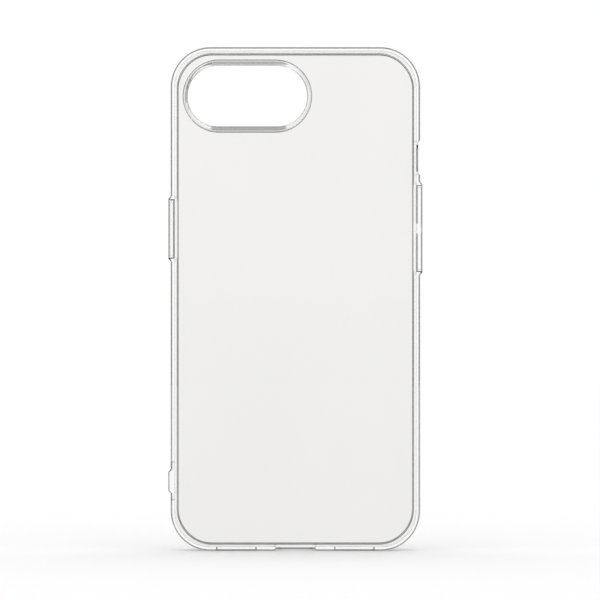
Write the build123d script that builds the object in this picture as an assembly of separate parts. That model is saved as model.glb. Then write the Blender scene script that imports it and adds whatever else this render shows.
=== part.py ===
from build123d import *
import os

# A clear fitted phone case, empty. All sizes are in millimetres.
# It stands upright with its back towards -Y. X runs to the right as the back is seen,
# Z runs up, and Y runs from the back face towards the screen side.
# The origin is the centre of the back panel's outer face.

LEFT = -1  # the side wall at -X
RIGHT = 1  # the side wall at +X

# The phone that the case fits
PHONE_WIDTH = 71.5
PHONE_HEIGHT = 146.7
PHONE_DEPTH = 7.8
PHONE_FIT = 0.1  # room between phone and wall

# The soft frame
WALL = 1.1
OUTER_RADIUS = 11.8
CAVITY_RADIUS = 10.7
BACK_EDGE_RADIUS = 1.0
FRONT_EDGE_RADIUS = 0.8
FLANGE_THICK = 0.6  # the frame's band over the panel's edge
LIP_THICK = 0.9
LIP_OVERHANG = 1.0  # how far the front lip reaches over the screen
LIP_EDGE_RADIUS = 0.25

# The hard back panel
PANEL_WIDTH = 69.7
PANEL_HEIGHT = 144.9
PANEL_RADIUS = 10.6
PANEL_THICK = 1.2
BOND_GAP = 0.04  # between parts that are moulded or glued together

# The camera ring
RING_X = -14.2
RING_Z = 60.0
RING_LENGTH = 37.8
RING_WIDTH = 21.2
RING_OPENING_LENGTH = 35.3
RING_OPENING_WIDTH = 17.9
RING_PROUD = 1.2
RING_RIM = 0.3  # the narrow top outside the bevel
RING_BEVEL_DEPTH = 0.65
RING_EDGE_RADIUS = 0.28
RING_SEAT = 0.6  # how deep the ring sits in the panel
SPIGOT_WALL = 0.6

# The two button covers, each in a swelling of the wall and inside a thin flexible web
SWELL_PROUD = 0.65  # also the run of the swelling's ramps
SWELL_MARGIN = 0.85  # from the foot of a swelling's ramp to the window
WINDOW_WIDTH = 4.9
WINDOW_RADIUS = 0.35
WEB_WIDTH = 0.65
WEB_THICK = 0.45
WEB_SINK = 0.25  # how far the web lies below the swelling's face
COVER_CLEARANCE = 0.06
COVER_UNDERSIDE = 36.25  # distance of the underside from the case's middle
COVER_CORNER_RADIUS = 0.15
COVER_EDGE_RADIUS = 0.12
SIDE_COVER_Z = 20.75
SIDE_SWELL_LENGTH = 19.3
VOLUME_COVER_Z = 20.9
VOLUME_SWELL_LENGTH = 27.5
KEY_SPACING = 14.2  # between the volume keys' centres
KEY_POCKET_LENGTH = 11.3
KEY_POCKET_WIDTH = 3.0
KEY_POCKET_RADIUS = 0.6
KEY_POCKET_DEPTH = 0.15
FULCRUM_RADIUS = 0.4
FULCRUM_X = 36.3
FULCRUM_LENGTH = 3.0

# The recess and opening for the action button, on the right wall
ACTION_Z = 41.75
ACTION_RECESS_LENGTH = 10.3
ACTION_RECESS_DEPTH = 0.55
ACTION_OPENING_LENGTH = 8.0
ACTION_OPENING_WIDTH = 3.6

# The charging port and the speaker slots, in the bottom wall
PORT_RECESS_LENGTH = 12.4
PORT_RECESS_DEPTH = 0.5
PORT_LENGTH = 10.8
PORT_WIDTH = 6.4
PORT_RADIUS = 2.2
SPEAKER_X = 17.5
SPEAKER_LENGTH = 12.0
SPEAKER_WIDTH = 2.0
SPEAKER_RADIUS = 0.5

# The strap bar, on the left wall: a swelling of the wall with a cord tunnel under it
STRAP_Z = -53.95
STRAP_BAR_LENGTH = 7.0
STRAP_BAR_PROUD = 0.68
STRAP_BAR_RUN = 0.68  # the run of the bar's ramps
STRAP_CORD_WIDTH = 2.6
STRAP_HOLE_LENGTH = 2.2
STRAP_TUNNEL_ROOF = 36.75  # distance of the tunnel's roof from the case's middle

CAVITY_WIDTH = PHONE_WIDTH + 2 * PHONE_FIT
CAVITY_HEIGHT = PHONE_HEIGHT + 2 * PHONE_FIT
CAVITY_FRONT = PANEL_THICK + PHONE_DEPTH + PHONE_FIT
FRONT = CAVITY_FRONT + LIP_THICK
OUTER_WIDTH = CAVITY_WIDTH + 2 * WALL
OUTER_HEIGHT = CAVITY_HEIGHT + 2 * WALL
SIDE_FACE = OUTER_WIDTH / 2
BOTTOM_FACE = -OUTER_HEIGHT / 2
BUTTON_LINE = (PANEL_THICK + CAVITY_FRONT) / 2
SIDE_WINDOW_LENGTH = SIDE_SWELL_LENGTH - 2 * SWELL_MARGIN
VOLUME_WINDOW_LENGTH = VOLUME_SWELL_LENGTH - 2 * SWELL_MARGIN
CUT_PAST = 1.0  # how far a cutting tool runs past the face it cuts


def slab(outline, y_back, y_front):
    """An outline drawn on the back view, made solid from y_back to y_front."""
    return extrude(Plane.XZ.offset(-y_front) * outline, amount=y_front - y_back)


def wall_plane(side, x, z):
    """A plane facing out of a side wall: its own x runs up the case."""
    return Plane(origin=(side * x, BUTTON_LINE, z), x_dir=(0, 0, 1), z_dir=(side, 0, 0))


def bottom_plane(x):
    """A plane facing down, just inside the bottom wall."""
    inside = BOTTOM_FACE + WALL + CUT_PAST
    return Plane(origin=(x, BUTTON_LINE, inside), x_dir=(1, 0, 0), z_dir=(0, 0, -1))


def ramped_notch(length, depth):
    """A notch's outline, open downwards, with 45 degree ends. Its mouth lies on y = 0."""
    half = length / 2
    floor = half - depth
    mouth = half + CUT_PAST
    points = [(-mouth, -CUT_PAST), (-floor, depth), (floor, depth), (mouth, -CUT_PAST)]
    return make_face(Polyline(*points, close=True))


# ---- the frame ----


def frame_blank():
    """The frame's outside, with its back and front edges rounded."""
    body = slab(RectangleRounded(OUTER_WIDTH, OUTER_HEIGHT, OUTER_RADIUS), 0, FRONT)
    back_edges = body.edges().group_by(Axis.Y)[0]
    body = fillet(back_edges, BACK_EDGE_RADIUS)
    front_edges = body.edges().group_by(Axis.Y)[-1]
    return fillet(front_edges, FRONT_EDGE_RADIUS)


def phone_cavity():
    """The room for the phone, and the frame's two openings."""
    room = RectangleRounded(CAVITY_WIDTH, CAVITY_HEIGHT, CAVITY_RADIUS)
    panel = RectangleRounded(PANEL_WIDTH, PANEL_HEIGHT, PANEL_RADIUS)
    mouth = RectangleRounded(
        CAVITY_WIDTH - 2 * LIP_OVERHANG,
        CAVITY_HEIGHT - 2 * LIP_OVERHANG,
        CAVITY_RADIUS - LIP_OVERHANG,
    )
    inside = slab(room, FLANGE_THICK, CAVITY_FRONT)
    inside += slab(panel, -CUT_PAST, FLANGE_THICK)
    return inside + slab(mouth, CAVITY_FRONT, FRONT + CUT_PAST)


def action_recess():
    """The action button's scooped recess, and the opening through it."""
    notch = ramped_notch(ACTION_RECESS_LENGTH, ACTION_RECESS_DEPTH)
    notch = Pos(SIDE_FACE, ACTION_Z) * Rot(0, 0, 90) * notch
    opening = SlotOverall(ACTION_OPENING_LENGTH, ACTION_OPENING_WIDTH)
    start = wall_plane(RIGHT, SIDE_FACE - WALL - CUT_PAST, ACTION_Z)
    return slab(notch, -CUT_PAST, FRONT + CUT_PAST) + extrude(
        start * opening, amount=WALL + 2 * CUT_PAST
    )


def bottom_openings():
    """The port's recess and opening, and a speaker slot on each side of it."""
    notch = Pos(0, BOTTOM_FACE) * ramped_notch(PORT_RECESS_LENGTH, PORT_RECESS_DEPTH)
    cut = slab(notch, -CUT_PAST, FRONT + CUT_PAST)
    port = RectangleRounded(PORT_LENGTH, PORT_WIDTH, PORT_RADIUS)
    slot = RectangleRounded(SPEAKER_LENGTH, SPEAKER_WIDTH, SPEAKER_RADIUS)
    through = WALL + 2 * CUT_PAST
    cut += extrude(bottom_plane(0) * port, amount=through)
    cut += extrude(bottom_plane(-SPEAKER_X) * slot, amount=through)
    return cut + extrude(bottom_plane(SPEAKER_X) * slot, amount=through)


def swelling(side, z, length, proud, run):
    """A stretch of side wall that stands proud over the case's full depth, with ramped ends."""
    section = Rectangle(WALL + proud, FRONT)
    section = fillet(section.vertices().group_by(Axis.Y)[0].sort_by(Axis.X)[-1], BACK_EDGE_RADIUS)
    section = fillet(
        section.vertices().group_by(Axis.Y)[-1].sort_by(Axis.X)[-1], FRONT_EDGE_RADIUS
    )
    half = length / 2 + WALL * run / proud
    wall = extrude(section, amount=half, both=True)
    wall = Pos(SIDE_FACE + (proud - WALL) / 2, FRONT / 2, 0) * wall
    root = SIDE_FACE - WALL
    tip = SIDE_FACE + proud
    ramps = [(root, -half), (tip, run - length / 2), (tip, length / 2 - run), (root, half)]
    trimmed = slab(make_face(Polyline(*ramps, close=True)), 0, FRONT)
    wall &= trimmed
    if side == LEFT:
        wall = mirror(wall, Plane.YZ)
    return Pos(0, 0, z) * wall


def strap_tunnel():
    """The cord's way: in at one hole, under the bar, out at the other."""
    start = SIDE_FACE - WALL - CUT_PAST
    reach = STRAP_BAR_LENGTH + 2 * STRAP_HOLE_LENGTH
    tunnel = extrude(
        wall_plane(LEFT, start, STRAP_Z) * Rectangle(reach, STRAP_CORD_WIDTH),
        amount=STRAP_TUNNEL_ROOF - start,
    )
    hole = Rectangle(STRAP_HOLE_LENGTH, STRAP_CORD_WIDTH)
    offset_z = (STRAP_BAR_LENGTH + STRAP_HOLE_LENGTH) / 2
    for z in (STRAP_Z - offset_z, STRAP_Z + offset_z):
        tunnel += extrude(wall_plane(LEFT, start, z) * hole, amount=WALL + 2 * CUT_PAST)
    return tunnel


def shrunk(length, inset):
    """A cover window's outline, drawn in by an inset all round."""
    radius = max(WINDOW_RADIUS - inset, COVER_CORNER_RADIUS)
    return RectangleRounded(length - 2 * inset, WINDOW_WIDTH - 2 * inset, radius)


def cover_window(side, z, length):
    """The window that a button cover and its web fill."""
    start = wall_plane(side, SIDE_FACE - WALL - CUT_PAST, z)
    return extrude(start * shrunk(length, 0), amount=WALL + SWELL_PROUD + 2 * CUT_PAST)


def bumper_frame():
    """The soft frame: walls, back flange and front lip in one moulding."""
    frame = frame_blank() - phone_cavity()
    lip_edges = frame.edges().filter_by_position(Axis.Y, FRONT, FRONT)
    inner = lip_edges.filter_by(
        lambda e: abs(e.center().X) < SIDE_FACE - WALL
        and abs(e.center().Z) < OUTER_HEIGHT / 2 - WALL
    )
    frame = fillet(inner, LIP_EDGE_RADIUS)
    frame += swelling(LEFT, SIDE_COVER_Z, SIDE_SWELL_LENGTH, SWELL_PROUD, SWELL_PROUD)
    frame += swelling(RIGHT, VOLUME_COVER_Z, VOLUME_SWELL_LENGTH, SWELL_PROUD, SWELL_PROUD)
    frame += swelling(LEFT, STRAP_Z, STRAP_BAR_LENGTH, STRAP_BAR_PROUD, STRAP_BAR_RUN)
    frame -= strap_tunnel()
    frame -= cover_window(LEFT, SIDE_COVER_Z, SIDE_WINDOW_LENGTH)
    frame -= cover_window(RIGHT, VOLUME_COVER_Z, VOLUME_WINDOW_LENGTH)
    frame -= action_recess()
    return frame - bottom_openings()


# ---- the back panel and the camera ring ----


def back_panel():
    """The hard back plate: its thin edge slides under the frame's flange."""
    face = RectangleRounded(
        PANEL_WIDTH - 2 * BOND_GAP, PANEL_HEIGHT - 2 * BOND_GAP, PANEL_RADIUS - BOND_GAP
    )
    tongue = RectangleRounded(
        CAVITY_WIDTH - 2 * BOND_GAP, CAVITY_HEIGHT - 2 * BOND_GAP, CAVITY_RADIUS - BOND_GAP
    )
    panel = slab(face, 0, PANEL_THICK)
    panel += slab(tongue, FLANGE_THICK + BOND_GAP, PANEL_THICK)
    here = Pos(RING_X, RING_Z)
    seat = SlotOverall(RING_LENGTH + 2 * BOND_GAP, RING_WIDTH + 2 * BOND_GAP)
    opening = SlotOverall(
        RING_OPENING_LENGTH + 2 * (SPIGOT_WALL + BOND_GAP),
        RING_OPENING_WIDTH + 2 * (SPIGOT_WALL + BOND_GAP),
    )
    panel -= slab(here * seat, -CUT_PAST, RING_SEAT + BOND_GAP)
    return panel - slab(here * opening, -CUT_PAST, PANEL_THICK + CUT_PAST)


def camera_ring():
    """The guard ring: a proud bevelled rim, and a spigot that lines the opening."""
    here = Pos(RING_X, RING_Z)
    top = -RING_PROUD
    bevel_foot = top + RING_BEVEL_DEPTH
    ring = slab(here * SlotOverall(RING_LENGTH, RING_WIDTH), top, RING_SEAT)
    ring = fillet(ring.edges().group_by(Axis.Y)[0], RING_EDGE_RADIUS)
    spigot = SlotOverall(
        RING_OPENING_LENGTH + 2 * SPIGOT_WALL, RING_OPENING_WIDTH + 2 * SPIGOT_WALL
    )
    ring += slab(here * spigot, RING_SEAT, PANEL_THICK)
    opening = SlotOverall(RING_OPENING_LENGTH, RING_OPENING_WIDTH)
    mouth = SlotOverall(RING_LENGTH - 2 * RING_RIM, RING_WIDTH - 2 * RING_RIM)
    bevel = loft(
        [
            Plane.XZ.offset(-bevel_foot) * here * opening,
            Plane.XZ.offset(-top) * here * mouth,
        ],
        ruled=True,
    )
    return ring - bevel - slab(here * opening, bevel_foot, PANEL_THICK + CUT_PAST)


# ---- the button covers and their webs ----


def cover_web(side, z, length):
    """The thin skin between the window's edge and the cover, sunk below the wall's face."""
    foot = SIDE_FACE + SWELL_PROUD - WEB_SINK - WEB_THICK
    web = extrude(wall_plane(side, foot, z) * shrunk(length, BOND_GAP), amount=WEB_THICK)
    hole = shrunk(length, BOND_GAP + WEB_WIDTH)
    return web - extrude(wall_plane(side, foot - CUT_PAST, z) * hole, amount=2 * CUT_PAST)


def cover_block(side, z, length, underside):
    """A cover's straight-sided block, its outer edges softened."""
    inset = BOND_GAP + WEB_WIDTH + COVER_CLEARANCE
    height = SIDE_FACE + SWELL_PROUD - underside
    block = extrude(wall_plane(side, underside, z) * shrunk(length, inset), amount=height)
    outer = block.edges().group_by(Axis.X)[-1 if side == RIGHT else 0]
    return fillet(outer, COVER_EDGE_RADIUS)


def side_button_cover():
    """The pad over the phone's side button."""
    return cover_block(LEFT, SIDE_COVER_Z, SIDE_WINDOW_LENGTH, COVER_UNDERSIDE)


def volume_button_cover():
    """The one bar over both volume keys: it rocks on a half-round rib."""
    underside = COVER_UNDERSIDE - KEY_POCKET_DEPTH
    bar = cover_block(RIGHT, VOLUME_COVER_Z, VOLUME_WINDOW_LENGTH, underside)
    rib = Rot(90, 0, 0) * Cylinder(FULCRUM_RADIUS, FULCRUM_LENGTH)
    bar += Pos(FULCRUM_X, BUTTON_LINE, VOLUME_COVER_Z) * rib
    pocket = RectangleRounded(KEY_POCKET_LENGTH, KEY_POCKET_WIDTH, KEY_POCKET_RADIUS)
    start = underside - CUT_PAST
    for z in (VOLUME_COVER_Z - KEY_SPACING / 2, VOLUME_COVER_Z + KEY_SPACING / 2):
        bar -= extrude(
            wall_plane(RIGHT, start, z) * pocket, amount=CUT_PAST + KEY_POCKET_DEPTH
        )
    return bar


os.makedirs("parts", exist_ok=True)
export_step(back_panel(), "parts/back_panel.step")
export_step(bumper_frame(), "parts/bumper_frame.step")
export_step(camera_ring(), "parts/camera_ring.step")
export_step(side_button_cover(), "parts/side_button_cover.step")
export_step(volume_button_cover(), "parts/volume_button_cover.step")
export_step(cover_web(LEFT, SIDE_COVER_Z, SIDE_WINDOW_LENGTH), "parts/side_button_web.step")
export_step(
    cover_web(RIGHT, VOLUME_COVER_Z, VOLUME_WINDOW_LENGTH), "parts/volume_button_web.step"
)
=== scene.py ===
import math

import bmesh
import bpy
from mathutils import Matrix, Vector


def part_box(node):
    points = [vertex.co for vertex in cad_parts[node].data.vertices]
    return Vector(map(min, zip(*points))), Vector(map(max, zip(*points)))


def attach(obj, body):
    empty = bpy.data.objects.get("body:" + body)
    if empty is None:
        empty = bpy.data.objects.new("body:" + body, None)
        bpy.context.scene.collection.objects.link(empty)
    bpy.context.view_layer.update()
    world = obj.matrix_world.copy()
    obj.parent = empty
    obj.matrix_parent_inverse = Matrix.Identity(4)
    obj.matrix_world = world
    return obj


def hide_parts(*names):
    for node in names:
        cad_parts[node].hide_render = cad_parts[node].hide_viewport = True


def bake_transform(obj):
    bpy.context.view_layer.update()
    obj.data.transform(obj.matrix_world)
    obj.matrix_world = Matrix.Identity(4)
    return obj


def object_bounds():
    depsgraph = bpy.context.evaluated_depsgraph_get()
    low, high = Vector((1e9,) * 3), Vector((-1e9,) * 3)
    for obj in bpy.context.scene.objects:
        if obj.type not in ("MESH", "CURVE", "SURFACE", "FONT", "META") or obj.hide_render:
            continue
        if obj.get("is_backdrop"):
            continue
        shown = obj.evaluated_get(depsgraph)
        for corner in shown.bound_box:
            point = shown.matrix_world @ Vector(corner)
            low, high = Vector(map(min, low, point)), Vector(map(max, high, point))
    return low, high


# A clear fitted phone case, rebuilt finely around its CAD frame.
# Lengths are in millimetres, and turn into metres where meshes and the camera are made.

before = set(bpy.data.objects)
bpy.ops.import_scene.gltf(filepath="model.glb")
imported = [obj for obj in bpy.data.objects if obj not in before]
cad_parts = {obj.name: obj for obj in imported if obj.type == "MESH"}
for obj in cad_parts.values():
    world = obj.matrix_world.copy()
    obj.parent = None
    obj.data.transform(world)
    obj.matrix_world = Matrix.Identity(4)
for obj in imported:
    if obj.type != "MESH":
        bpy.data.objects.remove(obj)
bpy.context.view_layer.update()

MM = 0.001
X, Y, Z = 0, 1, 2
LEFT, RIGHT = -1, 1


def low(node, axis):
    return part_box(node)[0][axis] / MM


def high(node, axis):
    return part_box(node)[1][axis] / MM


def half(node, axis):
    return (high(node, axis) - low(node, axis)) / 2


def middle(node, axis):
    return (high(node, axis) + low(node, axis)) / 2


# ---- sizes, from the CAD frame where it shows them ----

BOND = 0.04  # the gap between bonded parts
WALL = 1.1
HALF_WIDTH = half("back_panel", X) + BOND + WALL
HALF_HEIGHT = half("back_panel", Z) + BOND + WALL
FRONT = high("bumper_frame", Y)
PANEL_THICK = high("back_panel", Y)
BUTTON_LINE = middle("side_button_cover", Y)

# The frame's section. An inset is the distance in from the case's outline.
OUTER_RADIUS = 11.8  # the corners of the outline
BACK_ROUND = 1.0
FRONT_ROUND = 0.8
LIP_THICK = 0.9
LIP_REACH = 1.0
LIP_ROUND = 0.25
FLANGE_THICK = 0.6
FLANGE_INSET = 2.1
PANEL_RADIUS = 10.6
GROOVE = 0.25  # the chamfer on each side of the joint between panel and frame
PARTING_Y = 6.9  # the mould's parting line, a fine ridge round the wall
PARTING_PROUD = 0.025
PARTING_HALF = 0.12
EDGE = 0.1  # the rounding of a small outside edge
NOOK = 0.03  # and of an inside corner

# The bends in the wall's outline: recesses and swellings
BEND = 0.5  # the radius of their corners
ACTION_Z = 41.75
ACTION_RECESS = 10.3  # how long the action button's recess is
ACTION_DEPTH = 0.55
RECESS_SOFTNESS = 0.6  # how softly that recess meets the back and the front
PORT_RECESS = 12.4
PORT_DEPTH = 0.5
COVER_PROUD = high("volume_button_cover", X) - HALF_WIDTH
SWELL_PAST = 0.85  # how far a swelling runs past its window
STRAP_Z = -53.95
STRAP_LENGTH = 7.0  # the bar that a cord goes round
STRAP_PROUD = -low("bumper_frame", X) - HALF_WIDTH

# The openings, as half their length and half their width. A mouth is the rounding of an edge.
ACTION_HALF = (4.0, 1.8)
ACTION_MOUTH = 0.12
ACTION_LEAD = 0.42  # the slope round the opening's inner mouth
PORT_HALF = (5.4, 3.2)
PORT_RADIUS = 2.2
PORT_MOUTH = 0.15
SPEAKER_X = 17.5
SPEAKER_HALF = (6.0, 1.0)
SPEAKER_RADIUS = 0.5
SPEAKER_MOUTH = 0.1
STRAP_HOLE = 2.2  # how long the hole at each end of the strap bar is
CORD_HALF = 1.3
STRAP_CORNER = 0.2
STRAP_ROOF = 0.2  # how far the cord tunnel's roof is below the wall's outer face
TIGHT_MOUTH = 0.06  # for the strap's holes and the covers' windows

# The windows in the wall, their webs and covers
WINDOW_RADIUS = 0.35
LEAD = 0.45  # the depth of the slopes where the phone's keys slide past
LEAD_WIDTH = 4.8
LEAD_CORNER = 0.4
SIDE_KEY_LENGTH = 17.4
KEY_LENGTH = 11.3
KEY_SPACING = 14.2  # between the volume keys' centres
KEY_POCKET_HALF = (KEY_LENGTH / 2, 1.5)
KEY_POCKET_RADIUS = 0.6
KEY_POCKET_DEPTH = 0.15  # it brings the pockets' floors level with the side cover's underside
KEY_POCKET_ROUND = 0.04
WEB_WIDTH = 0.65
WEB_SKIN = 0.2
WEB_EDGE = 0.03
WEB_FLATS = (0.12, 0.14)  # the flats outside: at the window's edge, and at the cover
WEB_UNDER_FLATS = (0.16, 0.1)  # and the flats inside
WEB_FLAT_RISE = 0.01  # how much the outer flats rise towards the cover
COVER_RADIUS = 0.15
COVER_ROUND = 0.13
COVER_CHAMFER = 0.06
COVER_UNDERSIDE = -high("side_button_cover", X)  # from the case's middle
RIB_X = 36.3  # the rib that the volume cover rocks on
RIB_RADIUS = 0.4
RIB_HALF = 1.5
RIB_SIDES = 24

# The camera ring
RING_X = middle("camera_ring", X)
RING_Z = middle("camera_ring", Z)
RING_TOP = low("camera_ring", Y)
RING_HALF = (half("camera_ring", X), half("camera_ring", Z))
OPENING_HALF = (17.65, 8.95)
RING_ROUND = 0.28
RING_SHOULDER = [(0.31, 0.005), (0.36, 0.03)]  # past the round: inset, depth from the top
RING_BEVEL_DEPTH = 0.65
BEVEL_FOOT = [(0.09, -0.06), (0.02, 0.01), (0.0, 0.1)]  # from the opening, past the bevel
RING_SEAT = 0.6
SEAT_CHAMFER = 0.18
SPIGOT_WALL = 0.6  # the spigot lines the camera opening
SPIGOT_CHAMFER = 0.3
SPIGOT_EDGE = 0.05

# Mesh fineness
CORNER_STEPS = 60  # segments in a quarter turn of the case's outline
RING_STEPS = 24  # in a quarter turn of the ring
SMALL_STEPS = 8  # and in a small part's corner
MOUTH_STEPS = 5
SMOOTH_ANGLE = math.radians(32)  # a sharper edge than this is shaded as an edge
SAME_POINT = 1e-8  # metres: in an outline, points nearer than this are one point
SLIVER = 1e-7  # metres: an edge that a cut leaves shorter than this is dropped
PAST = 1.0  # how far a cutter runs past what it cuts


# ---- mesh helpers ----


def arc(cx, cy, radius, start, stop, steps):
    """Points on a circle from one angle to another, in degrees."""
    turns = [math.radians(start + (stop - start) * i / steps) for i in range(steps + 1)]
    return [(cx + radius * math.cos(a), cy + radius * math.sin(a)) for a in turns]


def circle(radius, sides):
    return arc(0.0, 0.0, radius, 0, 360, sides)[:-1]


def rounded(half_a, half_b, radius, steps=SMALL_STEPS):
    """A rounded rectangle's outline. How many points it has depends on steps alone."""
    radius = min(radius, half_a, half_b)
    a, b = half_a - radius, half_b - radius
    points = arc(a, b, radius, 0, 90, steps)
    points += arc(-a, b, radius, 90, 180, steps)
    points += arc(-a, -b, radius, 180, 270, steps)
    return points + arc(a, -b, radius, 270, 360, steps)


def stadium(half_a, half_b):
    """An outline with two straight sides and two round ends, as the camera ring has."""
    return rounded(half_a, half_b, half_b, RING_STEPS)


def make_mesh(name, rings, place, hoop=False):
    """Skins a stack of outlines. A plain stack is capped at both ends; a hoop closes on itself."""
    bm = bmesh.new()
    rows = []
    for points, height in rings:
        rows.append([bm.verts.new(place(a, b, height) * MM) for a, b in points])
    count, around = len(rows), len(rows[0])
    for i in range(count if hoop else count - 1):
        here, there = rows[i], rows[(i + 1) % count]
        for j in range(around):
            k = (j + 1) % around
            bm.faces.new((here[j], here[k], there[k], there[j]))
    if not hoop:
        bm.faces.new(rows[0][::-1])
        bm.faces.new(rows[-1])
    bmesh.ops.remove_doubles(bm, verts=bm.verts, dist=SAME_POINT)
    bmesh.ops.recalc_face_normals(bm, faces=bm.faces)
    mesh = bpy.data.meshes.new(name)
    bm.to_mesh(mesh)
    bm.free()
    made = bpy.data.objects.new(name, mesh)
    bpy.context.scene.collection.objects.link(made)
    return made


def on_back(x=0.0, z=0.0):
    """Places an outline on the back view; its height runs along Y."""
    return lambda a, b, height: Vector((x + a, height, z + b))


def on_side(side, z):
    """Places an outline on a side wall: a runs up the case, height runs outwards."""
    return lambda a, b, height: Vector((side * height, BUTTON_LINE + b, z + a))


def on_bottom(x):
    """Places an outline on the bottom wall; its height runs downwards."""
    return lambda a, b, height: Vector((x + a, BUTTON_LINE + b, -height))


def boolean(target, tool, operation="DIFFERENCE"):
    """Cuts the tool out of the target, or joins it to the target, and clears it away."""
    step = target.modifiers.new("cut", "BOOLEAN")
    step.operation = operation
    step.solver = "EXACT"
    step.object = tool
    graph = bpy.context.evaluated_depsgraph_get()
    result = bpy.data.meshes.new_from_object(target.evaluated_get(graph))
    target.modifiers.clear()
    target.data = result
    bpy.data.objects.remove(tool)


def soften(piece):
    """Smooth shading that keeps crisp edges, and keeps flat faces optically flat."""
    bm = bmesh.new()
    bm.from_mesh(piece.data)
    bmesh.ops.remove_doubles(bm, verts=bm.verts, dist=SLIVER)
    bmesh.ops.dissolve_degenerate(bm, edges=bm.edges, dist=SLIVER)
    for face in bm.faces:
        face.smooth = True
    for edge in bm.edges:
        edge.smooth = edge.calc_face_angle(0.0) < SMOOTH_ANGLE
    bm.to_mesh(piece.data)
    bm.free()
    weighted = piece.modifiers.new("even_normals", "WEIGHTED_NORMAL")
    weighted.keep_sharp = True
    weighted.weight = 100


def finish_piece(piece, node, body, material):
    """Stands a piece in for its CAD node. A piece without a body is not attached to one."""
    piece.data.materials.clear()
    piece.data.materials.append(material)
    if body:
        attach(piece, body)
    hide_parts(node)


# ---- materials ----


class Nodes:
    """A short way to build the nodes of a material or a world."""

    def __init__(self, owner):
        owner.use_nodes = True
        self.tree = owner.node_tree
        self.coordinates = self.add("ShaderNodeTexCoord").outputs

    def add(self, kind, **settings):
        node = self.tree.nodes.new(kind)
        for key, value in settings.items():
            setattr(node, key, value)
        return node

    def feed(self, socket, value):
        """Sets an input to a plain value, or links another node's output to it."""
        if isinstance(value, bpy.types.NodeSocket):
            self.tree.links.new(value, socket)
        else:
            socket.default_value = value

    def parts(self, vector):
        """A vector's X, Y and Z."""
        made = self.add("ShaderNodeSeparateXYZ")
        self.feed(made.inputs[0], vector)
        return made.outputs

    def maths(self, operation, *values):
        made = self.add("ShaderNodeMath", operation=operation)
        for socket, value in zip(made.inputs, values):
            self.feed(socket, value)
        return made.outputs[0]

    def times(self, first, second):
        return self.maths("MULTIPLY", first, second)

    def ramp(self, source, span, values=(0.0, 1.0), kind="LINEAR"):
        """Maps a range of a value to another range, and holds it at the ends."""
        made = self.add("ShaderNodeMapRange", interpolation_type=kind)
        self.feed(made.inputs["Value"], source)
        names = ("From Min", "From Max", "To Min", "To Max")
        for name, value in zip(names, (*span, *values)):
            made.inputs[name].default_value = value
        return made.outputs["Result"]

    def mix(self, factor, first, second, **settings):
        made = self.add("ShaderNodeMix", **settings)
        self.feed(made.inputs["Factor"], factor)
        self.feed(made.inputs["A"], first)
        self.feed(made.inputs["B"], second)
        return made.outputs["Result"]

    def noise(self, scale, detail, stretch=(1, 1, 1)):
        """Noise over the piece, scale in cycles per metre."""
        spread = self.add("ShaderNodeMapping")
        self.feed(spread.inputs["Scale"], stretch)
        self.feed(spread.inputs["Vector"], self.coordinates["Object"])
        made = self.add("ShaderNodeTexNoise")
        self.feed(made.inputs["Scale"], scale)
        self.feed(made.inputs["Detail"], detail)
        self.feed(made.inputs["Vector"], spread.outputs["Vector"])
        return made.outputs["Fac"]

    def bump(self, source, height, normal=None):
        made = self.add("ShaderNodeBump")
        made.inputs["Strength"].default_value = 1.0
        made.inputs["Distance"].default_value = height
        self.feed(made.inputs["Height"], source)
        if normal is not None:
            self.feed(made.inputs["Normal"], normal)
        return made.outputs["Normal"]


# The plastic's noises, as cycles per metre and detail, and the part of a noise's range in use
FLOW = (28.0, 2.0, (1.0, 1.0, 0.35))  # how the tint wanders; the melt flowed along the case
FLOW_SPAN = (0.35, 0.65)
WEAR = (420.0, 4.0)  # fine wear in the gloss
WEAR_SPAN = (0.45, 0.75)
RIPPLE = (60.0, 1.0)  # the moulding's slow waves
GRAIN = (2200.0, 2.0)  # the mould's polish
FACE_SPAN = (0.0001, 0.0002)  # metres: how deep the outer face's own tint goes


def opaque(colour):
    return (*colour, 1.0)


def clear_plastic(name, tint, deeper, ior, gloss, ripple, grain, face_tint=None):
    """A clear moulded plastic: a faint tint that wanders, moulding ripple and fine wear."""
    material = bpy.data.materials.new(name)
    n = Nodes(material)
    surface = n.tree.nodes["Principled BSDF"].inputs
    surface["Transmission Weight"].default_value = 1.0
    surface["IOR"].default_value = ior
    flow = n.ramp(n.noise(*FLOW), FLOW_SPAN)
    colour = n.mix(flow, opaque(tint), opaque(deeper), data_type="RGBA")
    if face_tint:
        face = n.ramp(n.parts(n.coordinates["Object"])[Y], FACE_SPAN, (1.0, 0.0))
        colour = n.mix(face, colour, opaque(face_tint), data_type="RGBA", blend_type="MULTIPLY")
    n.feed(surface["Base Color"], colour)
    n.feed(surface["Roughness"], n.ramp(n.noise(*WEAR), WEAR_SPAN, gloss))
    wave = n.bump(n.noise(*RIPPLE), ripple)
    n.feed(surface["Normal"], n.bump(n.noise(*GRAIN), grain, wave))
    return material


HARD = clear_plastic(
    "hard_clear",
    tint=(0.985, 0.985, 0.98),
    deeper=(0.97, 0.97, 0.967),
    ior=1.56,
    gloss=(0.004, 0.02),
    ripple=2e-6,
    grain=2e-8,
    face_tint=(0.80, 0.79, 0.775),
)
SOFT = clear_plastic(
    "soft_clear",
    tint=(0.99, 0.99, 0.988),
    deeper=(0.98, 0.981, 0.978),
    ior=1.5,
    gloss=(0.006, 0.03),
    ripple=3e-6,
    grain=4e-8,
)
RING = clear_plastic(
    "ring_clear",
    tint=(0.985, 0.985, 0.983),
    deeper=(0.975, 0.975, 0.972),
    ior=1.56,
    gloss=(0.003, 0.012),
    ripple=1e-6,
    grain=1e-8,
)


# ---- the soft frame ----


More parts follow.
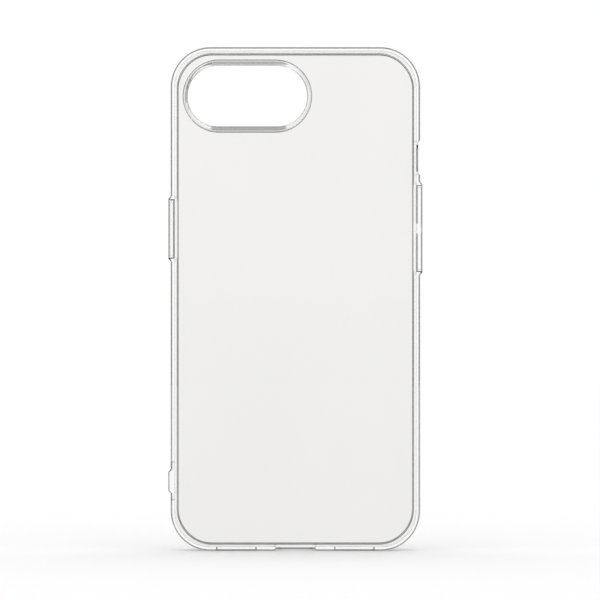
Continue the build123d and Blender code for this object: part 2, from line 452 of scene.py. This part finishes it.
def bend(centre, length, depth, run):
    """A recess, or with a negative depth a swelling: (place along the wall, depth) points."""
    sign = math.copysign(1.0, depth)
    lean = math.degrees(math.atan2(abs(depth), run))
    reach = BEND * math.tan(math.radians(lean / 2))
    side = arc(length / 2 - run - reach, abs(depth) - BEND, BEND, 90, 90 - lean, 5)
    side += arc(length / 2 + reach, BEND, BEND, 270 - lean, 270, 5)
    mirrored = [(-a, b) for a, b in reversed(side)]
    return [(centre + a, sign * b) for a, b in mirrored + side]


def swelling(key):
    """The swelling of the wall round a button's cover."""
    web = key + "_web"
    length = 2 * (half(web, Z) + BOND + SWELL_PAST)
    return bend(middle(web, Z), length, -COVER_PROUD, COVER_PROUD)


ACTION_BEND = bend(ACTION_Z, ACTION_RECESS, ACTION_DEPTH, ACTION_DEPTH)
STRAP_BEND = bend(STRAP_Z, STRAP_LENGTH, -STRAP_PROUD, STRAP_PROUD)
RIGHT_BENDS = swelling("volume_button") + ACTION_BEND
LEFT_BENDS = STRAP_BEND + swelling("side_button")
BOTTOM_BENDS = bend(0.0, PORT_RECESS, PORT_DEPTH, PORT_DEPTH)


def drawn_in(depth, inset, share):
    """How far a side bend draws the wall in. The case's rounded edges follow a swelling out,
    but the action recess is cut through them, with a smaller rounding of its own."""
    if share == 0 or depth <= 0:
        return share * depth
    left = depth - inset
    return (left + math.hypot(left, RECESS_SOFTNESS * depth)) / 2


def case_outline(inset, radius, share):
    """The case's outline at an inset, with its walls bent by a share of the bends' depth."""
    half_a, half_b = HALF_WIDTH - inset, HALF_HEIGHT - inset
    a, b = half_a - radius, half_b - radius
    points = arc(a, b, radius, 0, 90, CORNER_STEPS)
    points += arc(-a, b, radius, 90, 180, CORNER_STEPS)
    points += [(drawn_in(d, inset, share) - half_a, at) for at, d in reversed(LEFT_BENDS)]
    points += arc(-a, -b, radius, 180, 270, CORNER_STEPS)
    points += [(at, share * d - half_b) for at, d in BOTTOM_BENDS]
    points += arc(a, -b, radius, 270, 360, CORNER_STEPS)
    points += [(half_a - drawn_in(d, inset, share), at) for at, d in RIGHT_BENDS]
    return points


def frame_profile():
    """The frame's section, as (inset, distance from the back, share of the bends' depth)."""
    lip = WALL + LIP_REACH
    under = FRONT - LIP_THICK
    outside = arc(BACK_ROUND, BACK_ROUND, BACK_ROUND, 270, 180, 12)
    outside += [
        (0.0, PARTING_Y - PARTING_HALF),
        (-PARTING_PROUD, PARTING_Y),
        (0.0, PARTING_Y + PARTING_HALF),
    ]
    outside += arc(FRONT_ROUND, FRONT - FRONT_ROUND, FRONT_ROUND, 180, 90, 10)
    inside = arc(lip - LIP_ROUND, FRONT - LIP_ROUND, LIP_ROUND, 90, 0, 5)
    inside += arc(lip - EDGE, under + EDGE, EDGE, 0, -90, 3)
    inside += arc(WALL + NOOK, under - NOOK, NOOK, 90, 180, 3)
    inside += arc(WALL + NOOK, FLANGE_THICK + NOOK, NOOK, 180, 270, 3)
    inside += [(FLANGE_INSET, FLANGE_THICK), (FLANGE_INSET, GROOVE)]
    inside += [(FLANGE_INSET - GROOVE, 0.0)]
    return [(d, y, 1.0) for d, y in outside] + [(d, y, 0.0) for d, y in inside]


def frame_rings():
    """The frame's outlines, point by point round its section."""
    rings = []
    for inset, y, share in frame_profile():
        radius = OUTER_RADIUS - inset
        if y <= FLANGE_THICK and inset > WALL:
            way = (inset - WALL) / (FLANGE_INSET - WALL)
            radius = (OUTER_RADIUS - WALL) * (1 - way) + PANEL_RADIUS * way
        rings.append((case_outline(inset, radius, share), y))
    return rings


def hole(size, radius, face, place, mouth, thick=WALL):
    """A cutter through a wall whose outer face is at face, with both its mouths rounded."""
    inner = face - thick
    turns = [math.radians(i * 90 / MOUTH_STEPS) for i in range(MOUTH_STEPS + 1)]
    grown = [(mouth, inner - PAST)]
    for t in turns:
        grown.append((mouth - mouth * math.sin(t), inner + mouth - mouth * math.cos(t)))
    for t in turns:
        grown.append((mouth - mouth * math.cos(t), face - mouth + mouth * math.sin(t)))
    grown.append((mouth, face + PAST))
    rings = [(rounded(size[0] + g, size[1] + g, radius + g), height) for g, height in grown]
    return make_mesh("hole", rings, place)


def strap_cutters():
    """The cord's tunnel under the bar, and the hole at each end of it."""
    outline = rounded(STRAP_LENGTH / 2 + STRAP_HOLE, CORD_HALF, STRAP_CORNER)
    inner = HALF_WIDTH - WALL
    heights = (inner - PAST, HALF_WIDTH - STRAP_ROOF)
    tunnel = make_mesh("tunnel", [(outline, h) for h in heights], on_side(LEFT, STRAP_Z))
    cutters = [tunnel]
    for way in (-1, 1):
        place = on_side(LEFT, STRAP_Z + way * (STRAP_LENGTH + STRAP_HOLE) / 2)
        size = (STRAP_HOLE / 2, CORD_HALF)
        cutters.append(hole(size, STRAP_CORNER, HALF_WIDTH, place, TIGHT_MOUTH))
    return cutters


def window(side, web):
    """The window that a web and a cover fill."""
    size = (half(web, Z) + BOND, half(web, Y) + BOND)
    place = on_side(side, middle(web, Z))
    face = HALF_WIDTH + COVER_PROUD
    return hole(size, WINDOW_RADIUS, face, place, TIGHT_MOUTH, WALL + COVER_PROUD)


def lead_in(side, z, length):
    """A sloped pocket in the wall's inner face, where one of the phone's keys slides past."""
    inner = HALF_WIDTH - WALL
    sizes = [(LEAD, inner - PAST), (LEAD, inner), (0.0, inner + LEAD), (0.0, inner + LEAD + EDGE)]
    rings = []
    for grow, height in sizes:
        rings.append((rounded(length / 2, LEAD_WIDTH / 2 + grow, LEAD_CORNER), height))
    return make_mesh("lead_in", rings, on_side(side, z))


def action_lead_in():
    """A slope round the action opening's inner mouth, widest at its middle."""
    inner = HALF_WIDTH - WALL
    half_a, half_b = ACTION_HALF
    sizes = [(ACTION_LEAD, inner - PAST), (ACTION_LEAD, inner), (0.0, inner + ACTION_LEAD)]
    sizes.append((0.0, inner + ACTION_LEAD + NOOK))
    rings = [(rounded(half_a, half_b + grow, half_b + grow), height) for grow, height in sizes]
    return make_mesh("slot_lead_in", rings, on_side(RIGHT, ACTION_Z))


def wall_openings():
    """The action opening, the port and the two speaker slots."""
    face = HALF_WIDTH - ACTION_DEPTH
    place = on_side(RIGHT, ACTION_Z)
    thin = WALL - ACTION_DEPTH
    cutters = [hole(ACTION_HALF, ACTION_HALF[1], face, place, ACTION_MOUTH, thin)]
    face = HALF_HEIGHT - PORT_DEPTH
    thin = WALL - PORT_DEPTH
    cutters.append(hole(PORT_HALF, PORT_RADIUS, face, on_bottom(0.0), PORT_MOUTH, thin))
    for x in (-SPEAKER_X, SPEAKER_X):
        place = on_bottom(x)
        cutters.append(hole(SPEAKER_HALF, SPEAKER_RADIUS, HALF_HEIGHT, place, SPEAKER_MOUTH))
    return cutters


def build_frame():
    made = make_mesh("bumper_frame_body", frame_rings(), on_back(), hoop=True)
    key_z = middle("volume_button_web", Z)
    cutters = strap_cutters()
    cutters += [window(LEFT, "side_button_web"), window(RIGHT, "volume_button_web")]
    cutters.append(lead_in(LEFT, middle("side_button_web", Z), SIDE_KEY_LENGTH))
    for way in (1, -1):
        cutters.append(lead_in(RIGHT, key_z + way * KEY_SPACING / 2, KEY_LENGTH))
    cutters.append(action_lead_in())
    for cutter in cutters + wall_openings():
        boolean(made, cutter)
    soften(made)
    return made


# ---- the panel and the ring ----


def build_panel():
    """The plate, with the tongue that slides under the flange, and the ring's seat."""
    face = (HALF_WIDTH - FLANGE_INSET - BOND, HALF_HEIGHT - FLANGE_INSET - BOND)
    face_radius = PANEL_RADIUS - BOND
    tongue = (HALF_WIDTH - WALL - BOND, HALF_HEIGHT - WALL - BOND)
    tongue_radius = OUTER_RADIUS - WALL - BOND
    step = FLANGE_THICK + BOND

    def at(size, radius, inset, height):
        sides = (size[0] - inset, size[1] - inset, radius - inset)
        return rounded(*sides, CORNER_STEPS), height

    plate = [
        at(face, face_radius, GROOVE, 0.0),
        at(face, face_radius, 0.0, GROOVE),
        at(face, face_radius, 0.0, step),
        at(tongue, tongue_radius, NOOK, step),
        at(tongue, tongue_radius, 0.0, step + NOOK),
        at(tongue, tongue_radius, 0.0, PANEL_THICK - NOOK),
        at(tongue, tongue_radius, NOOK, PANEL_THICK),
    ]
    made = make_mesh("back_panel_plate", plate, on_back())
    here = on_back(RING_X, RING_Z)
    seat = stadium(*[s + BOND for s in RING_HALF])
    seat_mouth = stadium(*[s + BOND + SEAT_CHAMFER for s in RING_HALF])
    seat_steps = [(seat_mouth, -PAST), (seat_mouth, 0.0)]
    seat_steps += [(seat, SEAT_CHAMFER), (seat, RING_SEAT + BOND)]
    through = stadium(*[s + SPIGOT_WALL + BOND for s in OPENING_HALF])
    opening_steps = [(through, -PAST), (through, PANEL_THICK + PAST)]
    boolean(made, make_mesh("seat", seat_steps, here))
    boolean(made, make_mesh("opening", opening_steps, here))
    soften(made)
    return made


def ring_profile(width):
    """The ring's section, as (inset, distance from the back), over its own width."""
    foot = RING_TOP + RING_BEVEL_DEPTH
    spigot = width - SPIGOT_WALL
    profile = [(EDGE, RING_SEAT), (0.0, RING_SEAT - EDGE)]
    profile += arc(RING_ROUND, RING_TOP + RING_ROUND, RING_ROUND, 180, 270, 8)
    profile += [(inset, RING_TOP + depth) for inset, depth in RING_SHOULDER]
    profile += [(width - inset, foot + depth) for inset, depth in BEVEL_FOOT]
    profile += [(width, PANEL_THICK - SPIGOT_CHAMFER), (width - SPIGOT_CHAMFER, PANEL_THICK)]
    profile += [(spigot + SPIGOT_EDGE, PANEL_THICK), (spigot, PANEL_THICK - SPIGOT_EDGE)]
    return profile + [(spigot, RING_SEAT)]


def build_ring():
    """A hoop whose outline slides from the ring's outside (share 0) to its opening (share 1)."""
    width = (RING_HALF[0] - OPENING_HALF[0] + RING_HALF[1] - OPENING_HALF[1]) / 2
    rings = []
    for inset, y in ring_profile(width):
        share = inset / width
        half_a = RING_HALF[0] * (1 - share) + OPENING_HALF[0] * share
        half_b = RING_HALF[1] * (1 - share) + OPENING_HALF[1] * share
        rings.append((stadium(half_a, half_b), y))
    made = make_mesh("camera_guard_ring", rings, on_back(RING_X, RING_Z), hoop=True)
    soften(made)
    return made


# ---- the button covers and their webs ----


def web_reach(web):
    """How far out from the case's middle a web starts and ends."""
    return sorted((abs(low(web, X)), abs(high(web, X))))


def build_web(node, side):
    """The thin skin that slopes from low on the window's edge up to the cover."""
    half_a, half_b = half(node, Z), half(node, Y)
    foot, top = web_reach(node)
    low_flat, high_flat = WEB_FLATS
    low_under, high_under = WEB_UNDER_FLATS
    face = foot + WEB_SKIN
    section = [
        (0.0, foot),
        (0.0, face - WEB_EDGE),
        (WEB_EDGE, face),
        (low_flat, face + WEB_FLAT_RISE),
        (WEB_WIDTH - high_flat, top - WEB_FLAT_RISE),
        (WEB_WIDTH - WEB_EDGE, top),
        (WEB_WIDTH, top - WEB_EDGE),
        (WEB_WIDTH, top - WEB_SKIN),
        (WEB_WIDTH - high_under, top - WEB_SKIN),
        (low_under, foot),
    ]
    rings = []
    for inset, height in section:
        radius = max(WINDOW_RADIUS - BOND - inset, COVER_RADIUS)
        rings.append((rounded(half_a - inset, half_b - inset, radius), height))
    made = make_mesh(node + "_skin", rings, on_side(side, middle(node, Z)), hoop=True)
    soften(made)
    return made


def build_cover(node, side):
    """A cover's block, with a softly rounded outer edge. The volume cover also has its rib."""
    half_a, half_b = half(node, Z), half(node, Y)
    top = HALF_WIDTH + COVER_PROUD
    rocks = node == "volume_button_cover"
    underside = COVER_UNDERSIDE
    if rocks:
        underside -= KEY_POCKET_DEPTH
    sizes = [(COVER_CHAMFER, underside), (0.0, underside + COVER_CHAMFER)]
    for inset, height in arc(COVER_ROUND, top - COVER_ROUND, COVER_ROUND, 180, 90, 6):
        sizes.append((inset, height))
    rings = [(rounded(half_a - d, half_b - d, COVER_RADIUS - d), height) for d, height in sizes]
    made = make_mesh(node + "_pad", rings, on_side(side, middle(node, Z)))
    if rocks:
        add_rib_and_pockets(made, side, middle(node, Z), underside)
    soften(made)
    return made


def add_rib_and_pockets(bar, side, z, underside):
    """The half-round rib that the bar rocks on, and a shallow pocket for each key."""
    outline = circle(RIB_RADIUS, RIB_SIDES)
    ends = [(outline, BUTTON_LINE - RIB_HALF), (outline, BUTTON_LINE + RIB_HALF)]
    rib = make_mesh("rib", ends, lambda a, b, y: Vector((side * (RIB_X + a), y, z + b)))
    boolean(bar, rib, "UNION")
    floor = underside + KEY_POCKET_DEPTH
    sizes = [(0.0, underside - PAST), (0.0, floor - KEY_POCKET_ROUND), (KEY_POCKET_ROUND, floor)]
    half_a, half_b = KEY_POCKET_HALF
    for way in (-1, 1):
        rings = []
        for inset, height in sizes:
            outline = rounded(half_a - inset, half_b - inset, KEY_POCKET_RADIUS - inset)
            rings.append((outline, height))
        boolean(bar, make_mesh("pocket", rings, on_side(side, z + way * KEY_SPACING / 2)))


finish_piece(build_frame(), "bumper_frame", "case", SOFT)
finish_piece(build_panel(), "back_panel", "case", HARD)
finish_piece(build_ring(), "camera_ring", "case", RING)

for key, side in (("side_button", LEFT), ("volume_button", RIGHT)):
    cover = build_cover(key + "_cover", side)
    finish_piece(cover, key + "_cover", key, SOFT)
    web = build_web(key + "_web", side)
    finish_piece(web, key + "_web", None, SOFT)
    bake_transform(web)


# ---- the studio ----

# The case is lit as clear things are: a soft white screen fills the view behind it, and the
# room round the screen is darker, so that every edge and slope draws a grey line. The room
# turns with the camera, as a photographer's screen is moved round with the camera.
ROOM = [  # degrees off the camera's axis, brightness
    (0.0, 1.0),
    (20.5, 1.0),
    (23.0, 0.16),
    (44.0, 0.16),
    (50.0, 0.40),
    (62.0, 0.22),
    (110.0, 0.25),
    (140.0, 1.0),
]
SCREEN_BRIGHTNESS = 1.02
FALLOFF_ANGLE = 3.6  # the screen's own shading, from this far below the axis to this far above
FALLOFF = (0.95, 1.0)
BAND_HALF = 5.0  # the grey bands above and below the axis: half their width, in degrees
BAND_START, BAND_STOP = 9.0, 20.5
BAND_SOFT = 1.0
BAND_GREY = 0.35
FORWARD = 0.5  # the bands are only in front of the camera
NEAR_ZERO = 0.01
SHADOW_FILL = 1.0  # how far the light that the case throws on the floor is evened out
FLOOR_RADIUS = 2500
FLOOR_SIDES = 64
FLOOR_WHITE = (0.985, 0.985, 0.985)
LENS = 260.0
SENSOR = 36.0
VIEW_WIDTH = 177.4623  # across the picture, at the case's back
CAMERA_X, CAMERA_Z = 1.36, -0.3


def slopes(*angles):
    return [math.tan(math.radians(angle)) for angle in angles]


def room_light(n, ahead):
    """The room's brightness, from how far off the camera's axis a ray looks."""
    made = n.add("ShaderNodeValToRGB")
    n.feed(made.inputs[0], n.maths("DIVIDE", n.maths("ARCCOSINE", ahead), math.pi))
    stops = made.color_ramp.elements
    while len(stops) < len(ROOM):
        stops.new(1.0)
    for stop, (angle, value) in zip(stops, ROOM):
        stop.position = angle / 180
        stop.color = opaque((value, value, value))
    return made.outputs["Color"]


def grey_bands(n, across, up, ahead, depth):
    """One inside the two grey bands, and zero outside them."""
    sideways = n.maths("DIVIDE", n.maths("ABSOLUTE", across), depth)
    upwards = n.maths("DIVIDE", n.maths("ABSOLUTE", up), depth)
    side_span = slopes(BAND_HALF - BAND_SOFT, BAND_HALF + BAND_SOFT)
    start_span = slopes(BAND_START - BAND_SOFT, BAND_START + BAND_SOFT)
    stop_span = slopes(BAND_STOP - BAND_SOFT, BAND_STOP)
    wide = n.ramp(sideways, side_span, kind="SMOOTHSTEP")
    begun = n.ramp(upwards, start_span, kind="SMOOTHSTEP")
    ended = n.ramp(upwards, stop_span, kind="SMOOTHSTEP")
    in_reach = n.times(begun, n.maths("SUBTRACT", 1.0, ended))
    band = n.times(n.maths("SUBTRACT", 1.0, wide), in_reach)
    return n.times(band, n.maths("GREATER_THAN", ahead, FORWARD))


def plainness(n):
    """One for rays that see plain white, and less for the floor's light through the case."""
    path = n.add("ShaderNodeLightPath").outputs
    thrown = n.times(n.maths("MINIMUM", path["Diffuse Depth"], 1.0), SHADOW_FILL)
    plain = n.maths("MAXIMUM", path["Is Camera Ray"], path["Is Diffuse Ray"])
    return n.maths("MAXIMUM", plain, thrown)


def studio_world():
    """White for the camera and for matt surfaces; the room, for what is seen through plastic."""
    world = bpy.data.worlds.new("studio")
    world.cycles.sampling_method = "NONE"
    n = Nodes(world)
    seen = n.add("ShaderNodeVectorMath", operation="NORMALIZE")
    n.feed(seen.inputs[0], n.coordinates["Camera"])
    across, up, ahead = n.parts(seen.outputs[0])
    depth = n.maths("MAXIMUM", ahead, NEAR_ZERO)
    height = n.maths("DIVIDE", up, depth)
    falloff = n.ramp(height, slopes(-FALLOFF_ANGLE, FALLOFF_ANGLE), FALLOFF)
    band = grey_bands(n, across, up, ahead, depth)
    shade = n.mix(band, n.times(room_light(n, ahead), falloff), BAND_GREY)
    sky = n.tree.nodes["Background"].inputs
    n.feed(sky["Color"], n.mix(plainness(n), shade, 1.0))
    sky["Strength"].default_value = SCREEN_BRIGHTNESS
    return world


def studio_floor(height):
    """A plain pale floor under the case. The plastic shows the screen, not the floor."""
    corners = [(x * MM, y * MM, height) for x, y in circle(FLOOR_RADIUS, FLOOR_SIDES)]
    mesh = bpy.data.meshes.new("floor")
    mesh.from_pydata(corners, [], [range(FLOOR_SIDES)])
    floor = bpy.data.objects.new("floor", mesh)
    bpy.context.scene.collection.objects.link(floor)
    pale = bpy.data.materials.new("pale_floor")
    pale.use_nodes = True
    surface = pale.node_tree.nodes["Principled BSDF"].inputs
    surface["Base Color"].default_value = opaque(FLOOR_WHITE)
    surface["Roughness"].default_value = 1.0
    surface["Specular IOR Level"].default_value = 0.0
    floor.data.materials.append(pale)
    floor.visible_transmission = False
    floor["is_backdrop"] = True


def studio_camera():
    """A long lens, square on to the case's back."""
    data = bpy.data.cameras.new("camera")
    camera = bpy.data.objects.new("camera", data)
    bpy.context.scene.collection.objects.link(camera)
    data.lens = LENS
    data.sensor_width = SENSOR
    data.clip_start = 0.01
    distance = VIEW_WIDTH * LENS / SENSOR
    camera.location = (CAMERA_X * MM, -distance * MM, CAMERA_Z * MM)
    camera.rotation_euler = (math.radians(90), 0, 0)
    return camera


scene = bpy.context.scene
scene.world = studio_world()
studio_floor(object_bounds()[0][Z])
scene.camera = studio_camera()
scene.view_settings.view_transform = "Standard"
scene.cycles.max_bounces = 24
scene.cycles.transmission_bounces = 24
scene.cycles.glossy_bounces = 12
scene.cycles.transparent_max_bounces = 16
